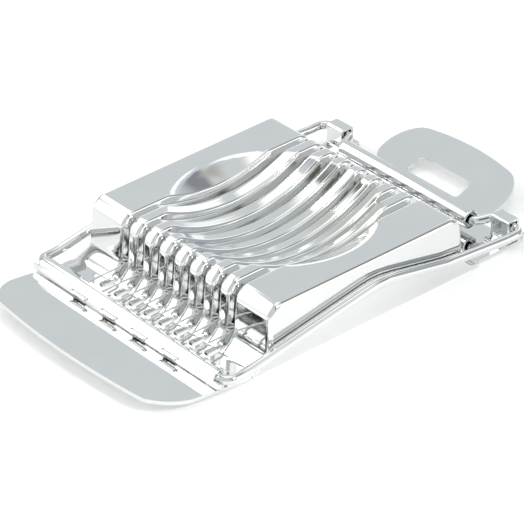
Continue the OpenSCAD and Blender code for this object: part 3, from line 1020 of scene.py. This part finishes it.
@dataclass
class HingeFrame:
    """The rod frame, its wire holder, the anchor bar and the wires."""

    rod: float = 2.4
    half_front: float = 34.3
    half_rear: float = 35.3
    bend: float = 2.5
    bar_y: float = 45.0
    bar_z: float = 4.1
    bow: tuple[float, float] = (3.0, 11.0)
    level: tuple[float, float] = (24.0, 6.9)
    bow_bend: float = 25.0
    lead: float = 3.0
    hinge_y: float = HINGE_Y
    hinge_z: float = HINGE_Z
    anchor_lead: float = 4.8
    anchor_drop: float = 0.4
    anchor: float = 5.0
    anchor_half: float = 22.6
    plug: float = 5.0
    anchor_sides: int = 48
    anchor_rim: float = 0.2
    anchor_wall: float = 0.35
    anchor_hollow: float = 1.5
    crank: float = 1.6
    crank_lead: float = 1.0
    clip_in: float = 26.8
    holder_sheet: float = 0.6
    holder_half: float = 34.0
    curl_half: float = 31.76
    holder_low: float = 2.31
    notch_half: float = 2.2
    notch_top: float = 3.3
    fold_steps: int = 16
    fit: float = 0.02
    pitch: float = PITCH
    wires: int = WIRES
    wire: float = 0.5
    wire_z: float = 3.6
    wire_seat: float = 0.7
    loop: float = 0.4

    def __post_init__(self) -> None:
        """Works out the places that follow from the sizes."""
        self.holder_out = self.rod / 2 + self.fit + self.holder_sheet
        self.holder_y = -self.bar_y - self.holder_out
        self.anchor_y = self.hinge_y - self.anchor_lead
        self.anchor_z = self.hinge_z - self.anchor_drop
        self.rise = math.atan((self.anchor_z - self.wire_z) / (self.anchor_y - self.holder_y))
        span = (self.anchor_y - self.holder_y) / math.cos(self.rise)
        self.wire_reach = span - self.anchor / 2 + self.wire_seat

    def rod_frame(self) -> bmesh.types.BMesh:
        """Bends the rod frame.

        Returns:
            The rod from one plug to the other.
        """
        front = Vector((self.half_front - self.bend, self.bend - self.bar_y))
        rear = Vector((self.half_rear - self.bend, self.hinge_y - self.bend))
        splay = math.atan2(rear.x - front.x, rear.y - front.y)
        along = Vector((math.sin(splay), math.cos(splay), 0.0))
        base = Vector((front.x + self.bend * math.cos(splay), front.y - self.bend * math.sin(splay),
                       0.0))

        def arm(y: float, z: float) -> Vector:
            """Gives a point of the right arm."""
            return base + along * y + Vector((0.0, 0.0, z))

        arm_length = (rear - front).length
        corner = base + along * ((-self.bar_y - base.y) / along.y)
        rear_corner = base + along * ((self.hinge_y - base.y) / along.y)
        right = [
            (Vector((corner.x, -self.bar_y, self.bar_z)), self.bend),
            (arm(self.lead, self.bar_z), self.bow_bend),
            (arm(self.bow[0] - front.y, self.bow[1]), self.bow_bend),
            (arm(self.level[0] - front.y, self.level[1]), self.bow_bend),
            (arm(arm_length - self.lead, self.hinge_z), self.bow_bend),
            (Vector((rear_corner.x, self.hinge_y, self.hinge_z)), self.bend),
            (Vector((self.clip_in - self.crank_lead, self.hinge_y, self.hinge_z)), self.crank),
            (Vector((self.anchor_half + self.crank_lead, self.anchor_y, self.anchor_z)), self.crank),
            (Vector((self.anchor_half - self.plug, self.anchor_y, self.anchor_z)), 0.0),
        ]
        left = [(Vector((-p.x, p.y, p.z)), r) for p, r in reversed(right)]
        bm = bmesh.new()
        RodPath(self.rod / 2, 28, left + right).build(bm)
        return bm

    def holder(self) -> bmesh.types.BMesh:
        """Folds the strip that hangs from the crossbar and holds the wires.

        Returns:
            The strip's outer face.
        """
        bm = bmesh.new()
        steps = self.fold_steps
        pairs = [self.wire_x(n) + self.pitch / 2 for n in range(1, self.wires, 2)]
        notches = sorted(x + side * self.notch_half for x in pairs for side in (-1, 1))
        half = [-self.holder_half, -self.curl_half, *notches, self.curl_half, self.holder_half]
        heights = (self.holder_low, self.notch_top, (self.notch_top + self.bar_z) / 2, self.bar_z)
        cells = len(half) - 1
        grid = bmesh.ops.create_grid(bm, x_segments=cells, y_segments=steps + 3, size=1.0)["verts"]
        for v in grid:
            x = half[round((v.co.x + 1) / 2 * cells)]
            k = round((v.co.y + 1) / 2 * (steps + 3))
            if k <= 3:
                v.co = (x, -self.bar_y - self.holder_out, heights[k])
            else:
                a = math.pi * (k - 3) / steps
                v.co = (x, -self.bar_y - self.holder_out * math.cos(a),
                        self.bar_z + self.holder_out * math.sin(a))
        gone = []
        for face in bm.faces:
            middle = face.calc_center_median()
            curl_end = abs(middle.x) > self.curl_half and middle.z > self.bar_z
            notch = middle.z < self.notch_top and any(abs(middle.x - x) < self.notch_half for x in pairs)
            if curl_end or (notch and middle.y < -self.bar_y):
                gone.append(face)
        bmesh.ops.delete(bm, geom=gone, context="FACES")
        bmesh.ops.recalc_face_normals(bm, faces=bm.faces)
        first = next(iter(bm.faces))
        if first.normal.y > 0 and first.calc_center_median().y < -self.bar_y:
            bmesh.ops.reverse_faces(bm, faces=bm.faces)
        return bm

    def anchor_tube(self) -> bmesh.types.BMesh:
        """Turns the bar behind the block, hollow at both ends.

        Returns:
            The bar.
        """
        bm = bmesh.new()
        middle = Matrix.Translation((0.0, self.anchor_y, self.anchor_z))
        bmesh.ops.create_cone(bm, cap_ends=True, segments=self.anchor_sides, radius1=self.anchor / 2,
                              radius2=self.anchor / 2, depth=2 * self.anchor_half,
                              matrix=middle @ Matrix.Rotation(math.pi / 2, 4, "Y"))
        rims = [e for e in bm.edges if any(len(f.verts) > 4 for f in e.link_faces)]
        round_off(bm, rims, self.anchor_rim, 3)
        caps = [f for f in bm.faces if len(f.verts) > 4]
        bmesh.ops.inset_region(bm, faces=caps, thickness=self.anchor_wall, use_even_offset=True)
        caps = [f for f in bm.faces if len(f.verts) > 4]
        for cap in caps:
            side = math.copysign(1.0, cap.calc_center_median().x)
            made = bmesh.ops.extrude_face_region(bm, geom=[cap])["geom"]
            bmesh.ops.translate(bm, verts=fresh_verts(made), vec=(-side * self.anchor_hollow, 0.0, 0.0))
            bmesh.ops.delete(bm, geom=[cap], context="FACES_ONLY")
        bmesh.ops.recalc_face_normals(bm, faces=bm.faces)
        return bm

    def wire_place(self) -> Matrix:
        """Gives the plane of the wires: origin on the holder's front face, Y along the wires."""
        start = Matrix.Translation((0.0, self.holder_y, self.wire_z))
        return start @ Matrix.Rotation(self.rise, 4, "X")

    def wire_x(self, n: int) -> float:
        """Gives the place of the n-th wire across the frame, from 1 at the left."""
        return (n - (self.wires + 1) / 2) * self.pitch

    def wire_pair(self, n: int) -> bmesh.types.BMesh:
        """Bends a pair of wires, looped over the holder.

        Args:
            n: the number of the pair's left wire.

        Returns:
            The pair.
        """
        out = self.loop + 0.1
        place = self.wire_place()
        left, right = self.wire_x(n), self.wire_x(n + 1)
        path = [(left, self.wire_reach, 0.0), (left, -out, self.loop), (right, -out, self.loop),
                (right, self.wire_reach, 0.0)]
        corners = [(place @ Vector((x, y, 0.0)), r) for x, y, r in path]
        bm = bmesh.new()
        RodPath(self.wire / 2, 12, corners).build(bm)
        return bm


@dataclass
class HingeClip:
    """A folded clip that holds one end of the hinge line down on its ear."""

    side: int
    inner: float = 26.8
    outer: float = 32.4
    sheet: float = SHEET
    gauge: float = 0.8
    hinge_y: float = HINGE_Y
    hinge_z: float = HINGE_Z
    hollow: float = 1.28
    foot: float = 2.2
    corner: float = 0.9
    foot_fold: float = 0.4

    def build(self) -> bmesh.types.BMesh:
        """Folds the clip.

        Returns:
            The clip's outer face.
        """
        out = self.hollow + self.gauge
        top, low = self.hinge_z + out, self.sheet + self.gauge
        outline = [(-out - self.foot, low), (-out, low), (-out, top), (out, top), (out, low),
                   (out + self.foot, low)]
        bm = bmesh.new()
        line = [bm.verts.new((self.inner, self.hinge_y + y, z)) for y, z in outline]
        edges = [bm.edges.new(pair) for pair in zip(line, line[1:])]
        made = bmesh.ops.extrude_edge_only(bm, edges=edges)["geom"]
        bmesh.ops.translate(bm, verts=fresh_verts(made), vec=(self.outer - self.inner, 0.0, 0.0))
        folds = [e for e in bm.edges if len(e.link_faces) == 2]
        high = [e for e in folds if e.verts[0].co.z > self.hinge_z]
        low_folds = [e for e in folds if e not in high]
        round_off(bm, high, self.corner, 6)
        low_folds = [e for e in low_folds if e.is_valid]
        round_off(bm, low_folds, self.foot_fold, 4)
        if self.side < 0:
            bmesh.ops.scale(bm, vec=(-1.0, 1.0, 1.0), verts=bm.verts)
        bmesh.ops.recalc_face_normals(bm, faces=bm.faces)
        top_face = max(bm.faces, key=lambda f: f.calc_center_median().z)
        if top_face.normal.z < 0:
            bmesh.ops.reverse_faces(bm, faces=bm.faces)
        return bm


@dataclass
class Workshop:
    """Turns the shapes into finished pieces on their bodies."""

    finishes: dict[Slot, bpy.types.Material]
    rim_angle: float = math.radians(50.0)
    sharp_angle: float = math.radians(40.0)

    def piece(self, name: str, bm: bmesh.types.BMesh, body: Body, slot: Slot,
              stands_for: Sequence[str], thickness: float = 0.0, rim: float = 0.0,
              varied: bool = False) -> bpy.types.Object:
        """Finishes a piece.

        Args:
            name: the piece's name.
            bm: its shape, in millimetres from the egg cup's middle.
            body: the body that it rides on.
            slot: the finish that it takes.
            stands_for: the solids that it covers.
            thickness: of the sheet, in millimetres, or 0 for a solid shape.
            rim: radius on the sheet's cut edges, in millimetres.
            varied: True if the sheet's thickness follows its weights.

        Returns:
            The finished object.
        """
        bmesh.ops.translate(bm, verts=bm.verts, vec=(0.0, -MID_Y, 0.0))
        bmesh.ops.scale(bm, vec=(MM, MM, MM), verts=bm.verts)
        mesh = bpy.data.meshes.new(name)
        bm.to_mesh(mesh)
        bm.free()
        mesh.shade_smooth()
        mesh.materials.append(self.finishes[slot])
        thing = bpy.data.objects.new(name, mesh)
        bpy.context.scene.collection.objects.link(thing)
        if thickness:
            wall = thing.modifiers.new("sheet", "SOLIDIFY")
            wall.thickness = thickness * MM
            wall.offset = -1.0
            wall.use_even_offset = True
            wall.use_quality_normals = True
            if varied:
                thing.vertex_groups.new(name="thickness")
                wall.vertex_group = "thickness"
        if rim:
            edge = thing.modifiers.new("rim", "BEVEL")
            edge.width = rim * MM
            edge.segments = 2
            edge.limit_method = "ANGLE"
            edge.angle_limit = self.rim_angle
            edge.use_clamp_overlap = True
        else:
            mesh.set_sharp_from_angle(angle=self.sharp_angle)
        even = thing.modifiers.new("even_shading", "WEIGHTED_NORMAL")
        even.keep_sharp = True
        even.weight = 50
        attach(thing, body.value)
        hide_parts(*stands_for)
        log.info("made %s with %d faces on %s", name, len(mesh.polygons), body.value)
        return thing


def main() -> None:
    """Builds the studio and every piece of the slicer."""
    logging.basicConfig(level=logging.INFO, format="%(message)s")
    shop = Workshop({
        Slot.SHEET: SteelFinish("polished_sheet_steel", (0.78, 0.785, 0.785), roughness=0.05, smear=0.05,
                                wave_height=0.00002).material(),
        Slot.ROD: SteelFinish("polished_rod_steel", (0.76, 0.765, 0.76), roughness=0.07, smear=0.06,
                              wave_height=0.000005).material(),
        Slot.WIRE: SteelFinish("drawn_wire_steel", (0.80, 0.80, 0.79), roughness=0.14, smear=0.08,
                               wave_height=0.000002).material(),
    })
    shop.piece("pressed_base", PressedBase().build(), Body.BASE, Slot.SHEET, ["base_plate"],
               thickness=SHEET, rim=0.15, varied=True)
    for side, name in ((-1, "hinge_clip_left"), (1, "hinge_clip_right")):
        clip = HingeClip(side)
        shop.piece(f"folded_{name}", clip.build(), Body.BASE, Slot.SHEET, [name],
                   thickness=clip.gauge, rim=0.1)
    hinge_frame = HingeFrame()
    shop.piece("bent_rod_frame", hinge_frame.rod_frame(), Body.FRAME, Slot.ROD, ["frame_rod"])
    shop.piece("folded_wire_holder", hinge_frame.holder(), Body.FRAME, Slot.SHEET, ["wire_holder"],
               thickness=hinge_frame.holder_sheet, rim=0.1)
    shop.piece("anchor_tube", hinge_frame.anchor_tube(), Body.FRAME, Slot.ROD, ["anchor_bar"])
    for k in range(1, WIRES // 2 + 1):
        shop.piece(f"looped_wires_{k}", hinge_frame.wire_pair(2 * k - 1), Body.FRAME, Slot.WIRE,
                   [f"wire_pair_{k}"])
    Studio().build()


if __name__ == "__main__":
    main()
